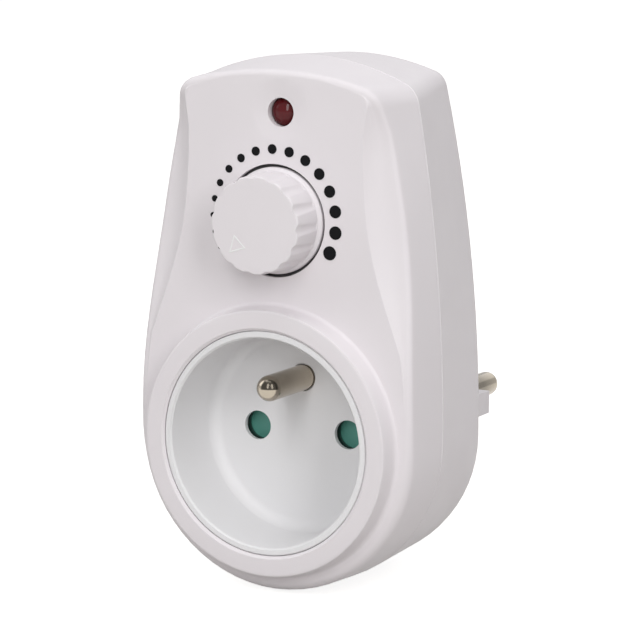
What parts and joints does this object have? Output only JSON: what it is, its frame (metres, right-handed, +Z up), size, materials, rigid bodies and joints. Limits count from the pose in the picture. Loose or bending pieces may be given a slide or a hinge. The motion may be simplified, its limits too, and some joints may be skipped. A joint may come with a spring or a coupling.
{
  "type": "plug-in dimmer",
  "caption": "White plug-in dimmer: a wall-plug body with an earthed round socket in front, a fluted dial knob ringed by growing dots and a red indicator lamp.",
  "frame": {"origin": "centre of the plug boss's end face, midway between the two plug pins", "axes": "+Y along the plug pins towards the wall, so the socket and the dial face -Y; +Z up, from the socket to the dial; +X to the right as seen from the front"},
  "size_m": [0.0576, 0.0817, 0.0989],
  "materials": {
    "case_plastic": "satin moulded plastic, cool white",
    "socket_plastic": "satin moulded plastic, cool white",
    "nickel": "nickel plate, softly polished",
    "shutter_green": "dull green moulded plastic",
    "steel": "zinc-plated steel",
    "dark_moulding": "dark grey moulding compound",
    "brass": "plain rolled brass",
    "dot_ink": "black pad-printed ink",
    "lamp_red": "dark red tinted resin",
    "tinned": "tin-plated metal",
    "pot_metal": "plated steel",
    "board_laminate": "green glass-fibre laminate",
    "track_carbon": "carbon film on phenolic",
    "sink_aluminium": "plain aluminium sheet",
    "ferrite": "dark sintered ferrite",
    "copper_wire": "enamelled copper wire",
    "yellow_box": "yellow boxed capacitor",
    "blue_box": "blue boxed capacitor",
    "resistor_tan": "tan lacquer",
    "diac_glass": "amber glass bead",
    "clear_glass": "clear glass tube"
  },
  "bodies": {
    "housing": {"front_cover": "case_plastic", "rear_cover": "case_plastic", "socket_insert": "socket_plastic", "earth_pin": "nickel", "live_pin": "nickel", "neutral_pin": "nickel", "shutter_spring": "steel", "contact_carrier": "dark_moulding", "pin_retainer": "dark_moulding", "carrier_screws": "steel", "retainer_screw": "steel", "case_screws": "steel", "board_screws": "steel", "heat_sink_screw": "steel", "live_contact": "brass", "neutral_contact": "brass", "neutral_strap": "brass", "live_strap": "brass", "load_strap": "brass", "earth_strap": "brass", "earth_contact": "brass", "fuse_clips": "brass", "dial_dots": "dot_ink", "indicator_led": "lamp_red", "led_leads": "tinned", "pot_terminals": "tinned", "triac_legs": "tinned", "fuse_caps": "tinned", "pot_nut": "tinned", "pot_body": "pot_metal", "circuit_board": "board_laminate", "pot_track": "track_carbon", "triac": "dark_moulding", "heat_sink": "sink_aluminium", "choke_core": "ferrite", "choke_winding": "copper_wire", "suppression_capacitor": "yellow_box", "timing_capacitor": "blue_box", "resistors": "resistor_tan", "diac": "diac_glass", "fuse_tube": "clear_glass"},
    "dial": {"knob": "case_plastic", "pot_shaft": "pot_metal", "pot_wiper": "brass"},
    "shutter": {"shutter": "shutter_green"}
  },
  "joints": [
    {"name": "knob_turn", "type": "hinge", "parent": "housing", "child": "dial", "pos_m": [0, -0.055, 0.0407], "axis": [0, 1, 0], "range_deg": [0, 270]},
    {"name": "shutter_slide", "type": "slide", "parent": "housing", "child": "shutter", "axis": [0, 0, -1], "range_m": [0, 0.0066], "stiffness_N_per_m": 60, "springref_m": -0.005, "deforming": ["shutter_spring"]}
  ]
}
